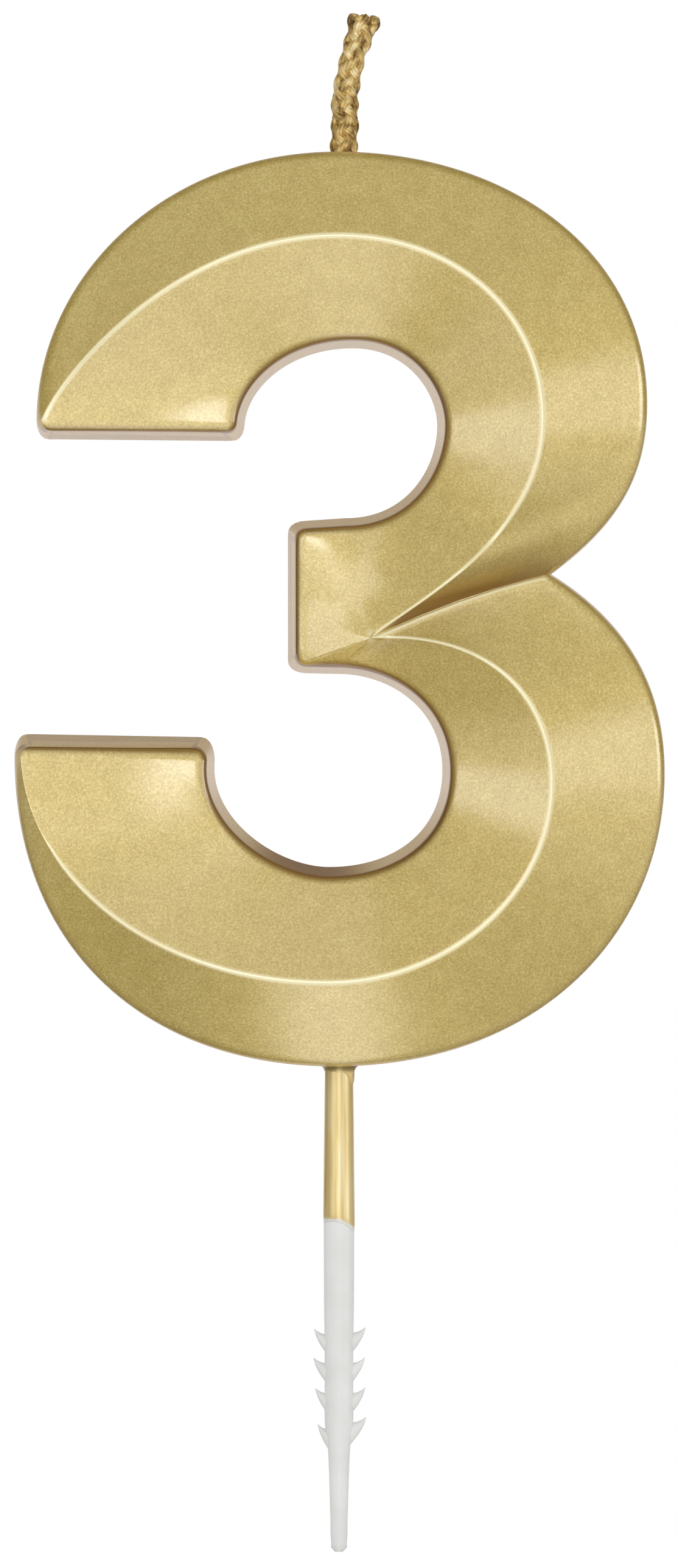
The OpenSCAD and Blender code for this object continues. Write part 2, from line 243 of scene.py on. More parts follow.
corner = numeral["corner"]
notch, apex = (16.1, 37.65), (2.45, 32.85)
spurFoot = 30.6
upperStroke = {
    "left": [curve((-23.15, 48.65 + corner), (-23.15, 59.9), (-13.9, 70.05), (-0.1, 70.05)),
        curve((-0.1, 70.05), (12.75, 70.05), (23.6, 62.6), (23.6, 50.75)),
        curve((23.6, 50.75), (23.6, 44.9), (21.0, 41.2), notch)],
    "ridge": [curve((-22.75, 48.65 + corner), (-21.5, 52.6), (-12.7, 63.6), (0, 63.6)),
        curve((0, 63.6), (8.7, 63.6), (15.55, 57.85), (15.55, 49.55)),
        curve((15.55, 49.55), (15.55, 40.4), (5.9, 35.7), apex)],
    "right": [curve((-7.85, 48.5 + corner), (-7.5, 52.6), (-3.9, 55.65), (1.05, 55.65)),
        curve((1.05, 55.65), (5.75, 55.65), (8.15, 51.85), (8.15, 49.1)),
        curve((8.15, 49.1), (8.15, 45.55), (5.6, 41.4), (0.55, 41.4))],
    "low": "start", "cap": (0, -1), "capDraft": 0.65, "leftDraft": numeral["draftOut"]}
lowerStroke = {
    "left": [curve(notch, (21.75, 34.25), (24.95, 29.35), (24.95, 22.45)),
        curve((24.95, 22.45), (24.95, 10.55), (15.75, 0), (-0.4, 0)),
        curve((-0.4, 0), (-14.7, 0), (-24.85, 8.95), (-24.85, 24.55 - corner))],
    "ridge": [curve(apex, (11.9, 33.5), (16.25, 27.9), (16.25, 21.85)),
        curve((16.25, 21.85), (16.25, 12.8), (7.75, 6.5), (-0.8, 6.5)),
        curve((-0.8, 6.5), (-14.2, 6.5), (-23.95, 14.6), (-24.35, 24.55 - corner))],
    "right": [curve((-0.1, spurFoot), (4.2, spurFoot), (8.55, 27.75), (8.55, 22.6)),
        curve((8.55, 22.6), (8.55, 17.5), (4.55, 14.55), (-0.75, 14.55)),
        curve((-0.75, 14.55), (-5.0, 14.55), (-10.7, 18.45), (-10.15, 24.3 - corner))],
    "low": "end", "cap": (0, 1), "capDraft": 0.9, "leftDraft": numeral["draftOut"]}
prong = {
    "left": [straight((-0.1, spurFoot), (-3.35 + corner, spurFoot + 0.05))],
    "ridge": [curve(apex, (1.0, 32.45), (-0.8, 31.8), (-3.35 + corner, 31.1))],
    "right": [straight((0.55, 41.4), (-3.35 + corner, 41.2))],
    "low": "end", "cap": (-1, 0), "capDraft": 0.65, "leftDraft": numeral["draftIn"]}
# inner corners of the ends that stand a little proud: place, height, reach
lifts = [((-7.85, 48.5), 0.4, 2.2), ((-9.9, 22.2), 0.34, 2.2), ((-3.35, 41.2), 0.75, 3.8)]
landSteps = np.array([0.0, 0.33, 0.67, 1.0])
facetSteps = np.array([0.03, 0.1, 0.28, 0.5, 0.72, 0.9, 0.97])
edgeSteps = np.linspace(0, 1, 6)
wallSteps = np.array([0.04, 0.3, 0.7, 0.96])
backSteps = np.array([1.0, 0.75, 0.5, 0.25, 0.0])
frontEdge = 1 + len(landSteps) + len(facetSteps)
frontPoints = frontEdge + len(edgeSteps)
sectionPoints = frontPoints + len(wallSteps) + len(edgeSteps) + len(facetSteps) + len(backSteps)


def sectionMarks(first, values):
    marks = np.zeros(sectionPoints)
    marks[first:first + len(values)] = values
    return marks


# painted highlight on the ridge land and painted shade on the rounding of the front edge, by point of a section
paintedRidgeHighlight = sectionMarks(0, [0.85, 0.85, 0.8, 0.35])
paintedEdgeShade = sectionMarks(frontEdge, [0, 0.3, 0.85, 1, 1, 0.5, 0.1])
capTurnShade = {18: 0.0, 36: 0.25, 54: 0.85, 72: 1.0, 90: 0.2}          # turn of the rounded end, how much painted shade it gets


def quad(a, b, c, t):
    t = t[:, None]
    return (1 - t) ** 2 * a + 2 * t * (1 - t) * b + t * t * c


def at(flat, height):
    return np.array([flat[0], height, flat[1]])


# ridge, facet, edge, wall and back on one side of a stroke, as (x, height, z)
def halfSection(ridge, height, foot, out, draft, otherFoot, land, sink=0.0, lower=None):
    n = numeral
    lower = sink if lower is None else lower
    foot = foot - out * sink
    span, otherSpan = np.linalg.norm(foot - ridge), np.linalg.norm(otherFoot - ridge)
    toFoot = (foot - ridge) / span
    top = height - lower
    slope, otherSlope = height / span, height / otherSpan
    cut = land * slope * otherSlope / (slope + otherSlope)          # the ridge is blunt, with a narrow level land
    reach = cut / slope
    w = reach + min(n["landCorner"] * land / n["ridgeLand"], n["landShare"] * span)
    lean = max(n["leastLean"], abs(float(out @ toFoot)) / np.linalg.norm(out))
    inset = min(n["edge"] / lean, n["edgeShare"] * span)
    drop = n["edge"]

    def facet(u):
        return at(ridge + toFoot * u, top - slope * u)

    inner = max(0.35 * reach, 2 * reach - w)
    middleDeep, sideDeep = n["landDeep"]
    front = [at(ridge, top - middleDeep * cut)[None], quad(at(ridge + toFoot * inner, top - sideDeep * cut),
        at(ridge + toFoot * reach, top - cut), facet(w), landSteps)]
    front.append(np.array([facet(w + (span - inset - w) * f) for f in facetSteps]))

    def wall(depth):
        return at(foot + out * draft * depth / n["wall"], -lower - depth)

    front.append(quad(facet(span - inset), wall(0), wall(drop), edgeSteps))
    deep = n["wall"] - 2 * lower
    low = deep - n["backEdge"]
    side = np.array([wall(drop + (low - drop) * f) for f in wallSteps])
    backFoot = foot + out * draft
    backSpan = np.linalg.norm(backFoot - ridge)
    toBack = (backFoot - ridge) / backSpan
    backInset = min(n["backEdge"] / lean, n["edgeShare"] * backSpan)
    floor = -lower - deep
    back = [quad(wall(low), at(backFoot, floor), at(backFoot - toBack * backInset, floor), edgeSteps)]
    us = np.concatenate([w + (backSpan - backInset - w) * facetSteps[::-1], w * backSteps])
    back.append(np.array([at(ridge + toBack * u, floor) for u in us]))
    return np.concatenate(front + [side] + back)


def fade(value, start, end):
    return np.clip((value - start) / (end - start), 0, 1)


def smoothStep(x):
    x = min(max(x, 0.0), 1.0)
    return x * x * (3 - 2 * x)


# the ridge line of the lower stroke dies out before its end
def dying(place):
    return smoothStep((place - numeral["ridgeEnd"]) / numeral["ridgeFade"])


# no outer facet is steeper than the rest, so the ridge sinks where that facet narrows
def ridgeHeight(facetWidth, dip):
    n = numeral
    full = (n["ridge"] ** -8 + (n["steepest"] * facetWidth) ** -8) ** -0.125
    full = (full ** 4 + n["endHeight"] ** 4) ** 0.25
    return full * (1 - n["apexDip"] * dip)


def strokeRows(stroke):
    n = numeral
    count = len(stroke["ridge"])
    outline = np.array([along(c, t) for c in stroke["left"] for t in np.linspace(0, 1, n["outlinePoints"])])
    rows = []
    for k in range(count):
        steps = np.linspace(0, 1, 1 + (n["rows"] if count > 1 else n["prongRows"]))
        if count > 1 and k == count - 1 and stroke["low"] == "start":
            steps = 1 - (1 - steps) ** n["rowBias"]          # finer towards the valley
        if count > 1 and k == 0 and stroke["low"] == "end":
            steps = steps ** n["rowBias"]
        for t in steps[1 if k else 0:]:
            ridge, left, right = (along(stroke[s][k], t) for s in ("ridge", "left", "right"))
            dl, dr = heading(stroke["left"][k], t), heading(stroke["right"][k], t)
            toApex = np.linalg.norm(ridge - apex)
            fall = toApex / n["upperDip"] if stroke["low"] == "start" else (toApex / n["lowerDip"]) ** 2
            dip = math.exp(-fall)
            height = ridgeHeight(np.linalg.norm(outline - ridge, axis=1).min(), dip)
            land = n["ridgeLand"] * min(1, 0.03 + toApex)
            if stroke is lowerStroke:
                land *= 1 - n["endLand"] * dying((k + t) / count)
            if count == 1:          # the prong's underside is flat, so its crease sinks towards the tip
                height = ridgeHeight(n["wideFacet"], 1) * (ridge[1] - spurFoot) / (apex[1] - spurFoot)
                land = n["creaseLand"] * min(1, 0.01 + toApex / n["creaseReach"])
            rows.append({"ridge": ridge, "height": height, "left": left, "right": right, "land": land,
                "leftOut": np.array([-dl[1], dl[0]]), "rightOut": np.array([dr[1], -dr[0]]),
                "place": (k + t) / count})
    return rows


def rowHalves(row, stroke, sink=0.0, lower=None):
    a = halfSection(row["ridge"], row["height"], row["left"], row["leftOut"], stroke["leftDraft"],
        row["right"] - row["rightOut"] * sink, row["land"], sink, lower)
    b = halfSection(row["ridge"], row["height"], row["right"], row["rightOut"], numeral["draftIn"],
        row["left"] - row["leftOut"] * sink, row["land"], sink, lower)
    return [a, b]


def capHalves(row, stroke, sink):
    n = numeral
    out = np.array([stroke["cap"][0], 0, stroke["cap"][1]], float)
    made = []
    for angle in capTurnShade:
        c, s = math.cos(math.radians(angle)), math.sin(math.radians(angle))
        shrink = (corner - sink) * (1 - c)
        bent = {**row, "ridge": row["ridge"] - row["leftOut"] * shrink}
        halves = rowHalves(bent, stroke, sink + shrink, sink + (n["capEdge"] - sink) * (1 - c))
        for half in halves:
            deep = np.clip(-half[:, 1] / n["wall"], 0, 1)
            half += np.outer(s * (corner - sink + stroke["capDraft"] * deep), out)
        made.append(halves)
    return made


def bowValley(half, row, amount):
    d = row["left"] - row["ridge"]
    span = np.linalg.norm(d)
    d = d / span
    v = np.clip((half[:, [0, 2]] - row["ridge"]) @ d / span, 0, 1)
    half[:, [0, 2]] += np.outer(amount * 4 * v * (1 - v), [-d[1], d[0]])


# how far along the valley a point is, and how far off it, towards the upper stroke
def valleyPlace(flat):
    d = np.array(notch) - apex
    long = np.linalg.norm(d)
    p = flat - apex
    v = p @ d / long ** 2
    return v, p @ [-d[1], d[0]] / long - numeral["valleyBow"] * 4 * v * (1 - v)


# widths in mm and strengths of the painted shade, the painted highlight lines and spot, and the low-coat patch
markSettings = {"outerEdge": 0.2, "prongLine": 1.1, "grooveShade": 0.85, "grooveWide": 1.2, "grooveLoss": 0.6, "broadShade": 0.5,
    "broadShadeWide": 3.0, "grooveLowCoat": 0.7, "line": (0.36, 0.22), "lineLoss": 0.4, "shade": 0.4, "shadeWide": 1.6,
    "shadeLong": 9.0, "lowCoat": (-2.5, 14.8), "lowCoatWide": 5.0, "lowCoatWall": (-6.5, -0.3), "spot": 0.85, "spotWide": 0.5}


# painted highlight, painted shade and low coat on each point of a half section
def markHalf(half, side, row, place, cap=None):
    f = markSettings
    flat, height = half[:, [0, 2]], half[:, 1]
    ridge, edge = paintedRidgeHighlight.copy(), paintedEdgeShade * (f["outerEdge"] if side == "outer" else 1.0)
    lowCoat = np.zeros(len(half))
    ridgeToApex = np.linalg.norm(row["ridge"] - apex)
    if place == "prong":
        ridge *= max(0.0, 1 - ridgeToApex / f["prongLine"])
    if place == "lower":
        ridge *= 1 - dying(row["place"])
    # the rounded ends get no painted highlight, and painted shade by their turn
    if cap:
        ridge *= 0.0
        edge[:frontPoints] = np.maximum(edge[:frontPoints], capTurnShade[cap])
    v, off = valleyPlace(flat)
    near = (v > -0.02) & (height > 0) & (side == "outer")
    # painted shade in the groove on the upper stroke's side of the valley, with less coat there
    if place == "upper":
        grooveShade = f["grooveShade"] * np.exp(-(np.abs(off) / f["grooveWide"]) ** 1.5)
        grooveShade = grooveShade * (1 - f["grooveLoss"] * fade(v, 0.35, 0.95))
        grooveShade = (grooveShade + f["broadShade"] * np.exp(-(off / f["broadShadeWide"]) ** 2)) * fade(v, 0, 0.2) * fade(v, 1.3, 1.0)
        grooveShade = np.where(near & (off > 0.05), grooveShade * (1 - ridge), 0)
        edge, lowCoat = np.maximum(edge, grooveShade), f["grooveLowCoat"] * grooveShade
    # a painted highlight along the valley line, clear of painted shade
    if place == "lower":
        line = fade(np.abs(off), *f["line"]) * (1 - f["lineLoss"] * fade(v, 0, 1))
        near &= v < 1
        ridge = np.where(near, np.maximum(ridge, line), ridge)
        edge = np.where(near, edge * (1 - line), edge)
        # painted shade under the ridge near the apex
        if side == "inner" and not cap:
            under = np.linalg.norm(flat - row["ridge"], axis=1)
            shade = f["shade"] * np.exp(-(under / f["shadeWide"]) ** 2) * max(0, 1 - ridgeToApex / f["shadeLong"])
            edge = np.where(height > 0, np.maximum(edge, shade * (1 - ridge)), edge)
            # a darker patch with less coat on the lower bowl's inner wall
            depth = math.exp(-(np.linalg.norm(row["right"] - f["lowCoat"]) / f["lowCoatWide"]) ** 4)
            low, high = f["lowCoatWall"]
            lowCoat = np.where((height < high) & (height > low), depth, 0)
            edge = np.maximum(edge, lowCoat)
    # a painted highlight around the apex
    toApex = np.linalg.norm(flat - apex, axis=1)
    spot = f["spot"] * np.clip(1.3 - toApex / f["spotWide"], 0, 1)
    spot = np.where((height > 0) & (place != "prong"), spot, 0)
    return np.maximum(ridge, spot), edge * (1 - spot), lowCoat


def makeShell(name, finish, sink):
    n = numeral
    upper, lower, spur = (strokeRows(s) for s in (upperStroke, lowerStroke, prong))
    corners = [upper[-1]["leftOut"], lower[0]["leftOut"]]
    mitre = np.linalg.solve(corners, [1.0, 1.0])          # the walls of both strokes meet on this line
    for rows, plain in zip((upper, lower), corners):
        for row in rows:
            toNotch = np.linalg.norm(row["left"] - notch)
            row["leftOut"] = row["leftOut"] + (mitre - plain) * math.exp(-toNotch / n["mitreReach"])
    for row, side, out in ((upper[-1], "rightOut", (0, 1)), (spur[0], "rightOut", (0, 1)),
            (lower[0], "rightOut", (0, -1)), (spur[0], "leftOut", (0, -1))):
        row[side] = np.array(out, float)
    upperHalves = [rowHalves(r, upperStroke, sink) for r in upper]
    lowerHalves = [rowHalves(r, lowerStroke, sink) for r in lower]
    spurHalves = [rowHalves(r, prong, sink) for r in spur]
    for row, halves in zip(upper, upperHalves):
        bowValley(halves[0], row, n["valleyBow"] * smoothStep(1 - (1 - row["place"]) / n["bowUpper"]))
    for row, halves in zip(lower, lowerHalves):
        bowValley(halves[0], row, n["valleyBow"] * smoothStep(1 - row["place"] / n["bowLower"]))
    lowerHalves[0][0] = upperHalves[-1][0]          # the strokes share these lines
    spurHalves[0][1] = upperHalves[-1][1]
    spurHalves[0][0] = lowerHalves[0][1]
    angles = list(capTurnShade)
    upperCap = capHalves(upper[0], upperStroke, sink)[::-1]
    lowerCap, spurCap = capHalves(lower[-1], lowerStroke, sink), capHalves(spur[-1], prong, sink)
    bands = [("upper", upperCap + upperHalves, angles[::-1] + [None] * len(upper), upper),
        ("lower", lowerHalves + lowerCap, [None] * len(lower) + angles, lower),
        ("prong", spurHalves + spurCap, [None] * len(spur) + angles, spur)]
    points, faces, marks = [], [], {"ridgeMark": [], "edgeMark": [], "poolMark": []}
    for label, band, caps, rows in bands:
        start = len(points)
        m = len(band[0][0])
        capFirst = caps[0] is not None
        rows = [rows[0]] * len(angles) + rows if capFirst else rows + [rows[-1]] * len(angles)
        for (a, b), cap, row in zip(band, caps, rows):
            left = markHalf(a, "inner" if label == "prong" else "outer", row, label, cap)
            right = markHalf(b, "inner", row, label, cap)
            for key, one, two in zip(marks, left, right):
                marks[key] += list(one) + list(two[::-1])
            points += list(a) + list(b[::-1])
        faces += ringFaces(len(band), 2 * m, start)
        p = start if capFirst else start + (len(band) - 1) * 2 * m
        for j in range(m // 2 - 1):
            faces.append((p + j, p + j + 1, p + m - 2 - j, p + m - 1 - j))
            faces.append((p + m + j, p + m + j + 1, p + 2 * m - 2 - j, p + 2 * m - 1 - j))
    points = np.array(points)
    for spot, lift, reach in lifts:
        far = np.linalg.norm(points[:, [0, 2]] - spot, axis=1) / reach
        points[:, 1] += lift * np.exp(-far ** 2 / 2) * np.clip(1 + points[:, 1] / n["wall"], 0, 1)
    v, off = valleyPlace(points[:, [0, 2]])          # the lower stroke ends in a small lip over the upper one
    first, last = n["lipEnds"]
    lip = np.interp(off, *np.array(n["lip"]).T) * fade(v, 0, first) * fade(v, 1, 1 - last)
    points[:, 1] += np.where(points[:, 1] > 0, lip, 0)
    points = [Vector((x, -n["wall"] / 2 - h, z + n["bottom"])) for x, h, z in points]
    piece = meshPiece(name, points, faces, finish, n["weld"], marks)
    # a small fillet where the ridges meet
    group = piece.vertex_groups.new(name="apex")
    for vert in piece.data.vertices:
        away = math.hypot(vert.co.x - apex[0], vert.co.z - n["bottom"] - apex[1])
        if vert.co.y < 0 and away < n["apexRound"]:
            group.add([vert.index], 1 - away / n["apexRound"], "REPLACE")
    fillet = piece.modifiers.new("apexFillet", "SMOOTH")
    fillet.vertex_group = "apex"
    fillet.use_x = fillet.use_z = False
    fillet.factor, fillet.iterations = 0.5, 8
    for vert in piece.data.vertices:
        vert.co *= mm
    bakeModifiers(piece)
    piece.vertex_groups.clear()
    return piece


def drill(piece, cutters, sides=40):
    for x, low, high, radius in cutters:
        ring = [(x + radius * math.cos(a), radius * math.sin(a)) for a in turns(sides)]
        points = [Vector((u, v, z)) * mm for z in (low, high) for u, v in ring]
        caps = [tuple(range(sides)), tuple(range(sides, 2 * sides))]
        cutter = meshPiece("cutter", points, caps + ringFaces(2, sides), goldLacquer)
        hole = piece.modifiers.new("hole", "BOOLEAN")
        hole.object, hole.operation, hole.solver = cutter, "DIFFERENCE", "EXACT"
        bakeModifiers(piece)
        bpy.data.objects.remove(cutter)


def openEdges(piece):
    check = bmesh.new()
    check.from_mesh(piece.data)
    count = sum(not e.is_manifold for e in check.edges)
    check.free()
    return count


goldCoat = makeShell("goldCoat", goldLacquer, 0.0)
drill(goldCoat, [(0, numeral["socketFoot"], numeral["socketTop"], numeral["socketRadius"])])
place(goldCoat, "numeral", "gold_lacquer", "gold_coat")
print("numeral:", len(goldCoat.data.polygons), "faces,", openEdges(goldCoat), "open edges")


# wax under the lacquer: cloudy paraffin, a little deeper than the coat

wax = {"under": 0.22, "clear": (0.93, 0.89, 0.78), "cloudy": (0.95, 0.93, 0.87), "cloud": 300.0, "socketShort": 0.1,
    "socketWide": 0.03, "wickHole": (0.4, 71, 84, 1.0)}


def waxFinish():
    finish, tree, shader = newFinish("paraffinWax", Roughness=0.5, Subsurface_Weight=0.4,
        Subsurface_Radius=(0.002, 0.0016, 0.001))
    coords = addNode(tree, "ShaderNodeTexCoord").outputs["Object"]
    cloud = colourSteps(tree, noise(tree, coords, wax["cloud"], 4.0), [(0.35, wax["clear"]), (0.65, wax["cloudy"])])
    tree.links.new(cloud, shader.inputs["Base Color"])
    return finish


waxBody = makeShell("waxBody", waxFinish(), wax["under"])
drill(waxBody, [(0, numeral["socketFoot"], numeral["socketTop"] - wax["socketShort"],
    numeral["socketRadius"] + wax["socketWide"]), wax["wickHole"]])
place(waxBody, "numeral", "wax", "wax_body")
print("wax:", len(waxBody.data.polygons), "faces,", openEdges(waxBody), "open edges")


# braided wick: eight strands over a core, painted gold, frayed at the top

wick = {"path": [(0.38, 71.3), (0.4, 76), (0.35, 81), (0.36, 82.2), (0.45, 84), (0.47, 86.2), (0.84, 88.4),
    (1.2, 89.9), (1.58, 91.3), (1.8, 92.4)], "pathPoints": 60, "rings": 150, "strands": 8, "strandRadius": 0.41,
    "strandSides": 12, "strandShift": 0.01, "braidRadius": 0.55, "weave": 0.06, "turn": 6.4, "foot": 1.14,
    "footSpan": (0.66, 0.82), "core": 0.66, "coreSides": 14, "flare": 0.9, "flareSpan": (0.88, 1.0), "bulge": 0.3,
    "topSpan": (0.955, 1.0), "stray": 0.1, "straySize": 900.0, "uneven": 0.06, "seed": 4, "clump": 1500.0,
    "twist": 1500.0, "plies": 7.0,
    "tones": [(0.2, (0.20, 0.105, 0.025)), (0.4, (0.61, 0.395, 0.115)), (0.58, (0.91, 0.67, 0.26)),
        (0.78, (1.0, 0.86, 0.52))]}


def newTree(name, inputs):
    tree = bpy.data.node_groups.new(name, "GeometryNodeTree")
    tree.interface.new_socket(name="Geometry", in_out="INPUT", socket_type="NodeSocketGeometry")
    for label, (kind, _) in inputs.items():
        tree.interface.new_socket(name=label, in_out="INPUT", socket_type="NodeSocket" + kind)
    tree.interface.new_socket(name="Geometry", in_out="OUTPUT", socket_type="NodeSocketGeometry")
    return tree, tree.nodes.new("NodeGroupInput"), tree.nodes.new("NodeGroupOutput")


def growOn(piece, tree, inputs):
    grown = piece.modifiers.new(tree.name, "NODES")
    grown.node_group = tree
    for socket in tree.interface.items_tree:
        if socket.in_out == "INPUT" and socket.name in inputs:
            grown[socket.identifier] = inputs[socket.name][1]


# both trees end in the same way: joined, realized, smooth and with their finish
def endTree(tree, out, finish, *shapes):
    joined = addNode(tree, "GeometryNodeJoinGeometry")
    for shape in shapes:
        tree.links.new(shape, joined.inputs[0])
    whole = addNode(tree, "GeometryNodeRealizeInstances", {"Geometry": joined.outputs[0]}).outputs[0]
    whole = addNode(tree, "GeometryNodeSetShadeSmooth", {"Geometry": whole}).outputs[0]
    whole = addNode(tree, "GeometryNodeSetMaterial", {"Geometry": whole, "Material": finish}).outputs[0]
    tree.links.new(whole, out.inputs[0])


def vector2(tree, how, a, b):
    key = "Scale" if how == "SCALE" else 1
    return addNode(tree, "ShaderNodeVectorMath", {0: a, key: b}, operation=how).outputs[0]


def store(tree, shape, name, value):
    return addNode(tree, "GeometryNodeStoreNamedAttribute", {"Geometry": shape, "Name": name, "Value": value},
        data_type="FLOAT", domain="POINT").outputs[0]


def circle(tree, sides, radius):
    return addNode(tree, "GeometryNodeCurvePrimitiveCircle", {"Resolution": sides, "Radius": radius}).outputs[0]


def tube(tree, path, rim):
    return addNode(tree, "GeometryNodeCurveToMesh", {"Curve": path, "Profile Curve": rim, "Fill Caps": True})


def wickFinish():
    finish, tree, shader = newFinish("goldWick", Metallic=0.4, Coat_Weight=0.3, Coat_Roughness=0.35)
    clump = noise(tree, addNode(tree, "ShaderNodeTexCoord").outputs["Object"], wick["clump"], 3.0)
    twist = math2(tree, "MULTIPLY", marked(tree, "around"), wick["plies"])
    twist = math2(tree, "MULTIPLY_ADD", marked(tree, "lengthwise"), wick["twist"], twist)
    fibre = math2(tree, "MULTIPLY_ADD", clump, 5.0, math2(tree, "MULTIPLY", twist, 2 * math.pi))
    fibre = math2(tree, "SINE", fibre)
    # strands are darker where they pass under others: painted shade between the strands
    tone = math2(tree, "MULTIPLY_ADD", marked(tree, "depth"), 0.16, math2(tree, "MULTIPLY", clump, 0.9))
    tone = math2(tree, "MULTIPLY_ADD", fibre, 0.05, tone)
    tree.links.new(colourSteps(tree, tone, wick["tones"]), shader.inputs["Base Color"])
    tree.links.new(spread(tree, clump, 0.3, 0.7, 0.5, 0.3), shader.inputs["Roughness"])
    roughen(tree, shader, fibre, 0.5, 0.00004)
    return finish


def wickTree(inputs):
    tree, given, out = newTree("wickBraid", inputs)
    value = given.outputs
    path = addNode(tree, "GeometryNodeResampleCurve", {"Curve": value["Geometry"], "Count": wick["rings"]}).outputs[0]
    copies = addNode(tree, "GeometryNodeDuplicateElements", {"Geometry": path, "Amount": value["Strands"]},
        domain="SPLINE").outputs
    index = copies["Duplicate Index"]
    spline = addNode(tree, "GeometryNodeSplineParameter").outputs
    side = math2(tree, "MULTIPLY_ADD", math2(tree, "MODULO", index, 2.0), 2.0, -1.0)
    lane = math2(tree, "MULTIPLY", math2(tree, "FLOOR", math2(tree, "MULTIPLY", index, 0.5)), math.pi / 2)
    swing = math2(tree, "MULTIPLY", math2(tree, "DIVIDE", spline["Length"], value["Turn"]), 2 * math.pi)
    angle = math2(tree, "MULTIPLY_ADD", swing, side, lane)
    over = math2(tree, "MULTIPLY", math2(tree, "COSINE", math2(tree, "MULTIPLY", swing, 4.0)), side)
    radius = math2(tree, "MULTIPLY_ADD", over, value["Weave"], value["Braid radius"])
    radius = math2(tree, "MULTIPLY", radius, eased(tree, spline["Factor"], wick["footSpan"], value["Foot"]))
    normal = addNode(tree, "GeometryNodeInputNormal").outputs[0]
    tangent = addNode(tree, "GeometryNodeInputTangent").outputs[0]
    cross = vector2(tree, "CROSS_PRODUCT", tangent, normal)
    ring = vector2(tree, "ADD", vector2(tree, "SCALE", normal, math2(tree, "COSINE", angle)),
        vector2(tree, "SCALE", cross, math2(tree, "SINE", angle)))
    offset = vector2(tree, "SCALE", ring, radius)
    # the cut end leans out to the right and bulges a little on the left
    toRight = addNode(tree, "ShaderNodeSeparateXYZ", {0: offset}).outputs["X"]
    top = eased(tree, spline["Factor"], wick["topSpan"])
    lean = math2(tree, "MULTIPLY", spread(tree, spline["Factor"], *wick["flareSpan"], 0.0, 1.0), value["Flare"])
    bulge = math2(tree, "MULTIPLY", top, value["Bulge"])
    push = math2(tree, "ADD", math2(tree, "MULTIPLY", math2(tree, "MAXIMUM", toRight, 0.0), lean),
        math2(tree, "MULTIPLY", math2(tree, "MINIMUM", toRight, 0.0), bulge))
    offset = vector2(tree, "ADD", offset, addNode(tree, "ShaderNodeCombineXYZ", {0: push}).outputs[0])
    where = vector2(tree, "ADD", addNode(tree, "GeometryNodeInputPosition").outputs[0],
        addNode(tree, "ShaderNodeCombineXYZ", {0: math2(tree, "MULTIPLY", index, wick["strandShift"])}).outputs[0])
    drift = addNode(tree, "ShaderNodeTexNoise", {"Vector": where, "Scale": wick["straySize"], "Detail": 1.0})
    drift = vector2(tree, "SUBTRACT", drift.outputs["Color"], (0.5, 0.5, 0.5))
    drift = vector2(tree, "SCALE", drift, value["Stray"])
    uneven = addNode(tree, "FunctionNodeRandomValue", {"ID": index, 2: -wick["uneven"] * mm, 3: wick["uneven"] * mm,
        "Seed": wick["seed"]}, data_type="FLOAT").outputs[1]
    drift = vector2(tree, "ADD", drift, vector2(tree, "SCALE", tangent, math2(tree, "MULTIPLY", uneven, top)))
    strands = addNode(tree, "GeometryNodeSetPosition", {"Geometry": copies["Geometry"],
        "Offset": vector2(tree, "ADD", offset, drift)}).outputs[0]
    strands = store(tree, store(tree, strands, "depth", over), "lengthwise", spline["Length"])
    strands, heart = (addNode(tree, "GeometryNodeSetCurveRadius", {"Curve": c, "Radius": 1.0}).outputs[0]
        for c in (strands, path))
    rim = store(tree, circle(tree, wick["strandSides"], value["Strand radius"]), "around", spline["Factor"])
    heartRim = circle(tree, wick["coreSides"], value["Core"])
    endTree(tree, out, value["Finish"], tube(tree, strands, rim).outputs[0], tube(tree, heart, heartRim).outputs[0])
    return tree


def pathCurve(name, points, radii=None):
    line = bpy.data.curves.new(name, "CURVE")
    line.dimensions = "3D"
    spline = line.splines.new("POLY")
    spline.points.add(len(points) - 1)
    for k, point in enumerate(points):
        spline.points[k].co = (*[c * mm for c in point], 1)
        spline.points[k].radius = radii[k] * mm if radii else 1.0
    return newObject(name, line)


# a smooth line through points given by height
def smoothLine(pairs, count):
    heights = np.array([z for _, z in pairs], float)
    values = np.array([x for x, _ in pairs], float)
    slopes = np.gradient(values, heights)
    places = np.linspace(heights[0], heights[-1], count)
    k = np.clip(np.searchsorted(heights, places, side="right") - 1, 0, len(heights) - 2)
    h = heights[k + 1] - heights[k]
    t = (places - heights[k]) / h
    found = ((2 * t ** 3 - 3 * t ** 2 + 1) * values[k] + (t ** 3 - 2 * t ** 2 + t) * h * slopes[k]
        + (3 * t ** 2 - 2 * t ** 3) * values[k + 1] + (t ** 3 - t ** 2) * h * slopes[k + 1])
    return [(float(x), float(z)) for x, z in zip(found, places)]


goldWick = wickFinish()
wickInputs = {"Strands": ("Int", wick["strands"]), "Finish": ("Material", goldWick)}
for label, key, unit in (("Strand radius", "strandRadius", mm), ("Braid radius", "braidRadius", mm),
        ("Weave", "weave", mm), ("Turn", "turn", mm), ("Core", "core", mm), ("Stray", "stray", mm),
        ("Flare", "flare", 1), ("Bulge", "bulge", 1), ("Foot", "foot", 1)):
    wickInputs[label] = ("Float", wick[key] * unit)
braid = pathCurve("wickBraid", [(x, 0, z) for x, z in smoothLine(wick["path"], wick["pathPoints"])])
growOn(braid, wickTree(wickInputs), wickInputs)
braid = bakeModifiers(braid)
place(braid, "numeral", "wick_cotton", "wick")
print("wick:", len(braid.data.polygons), "faces")


# plastic pick: a tapering shaft with eight barbs, white and a little milky

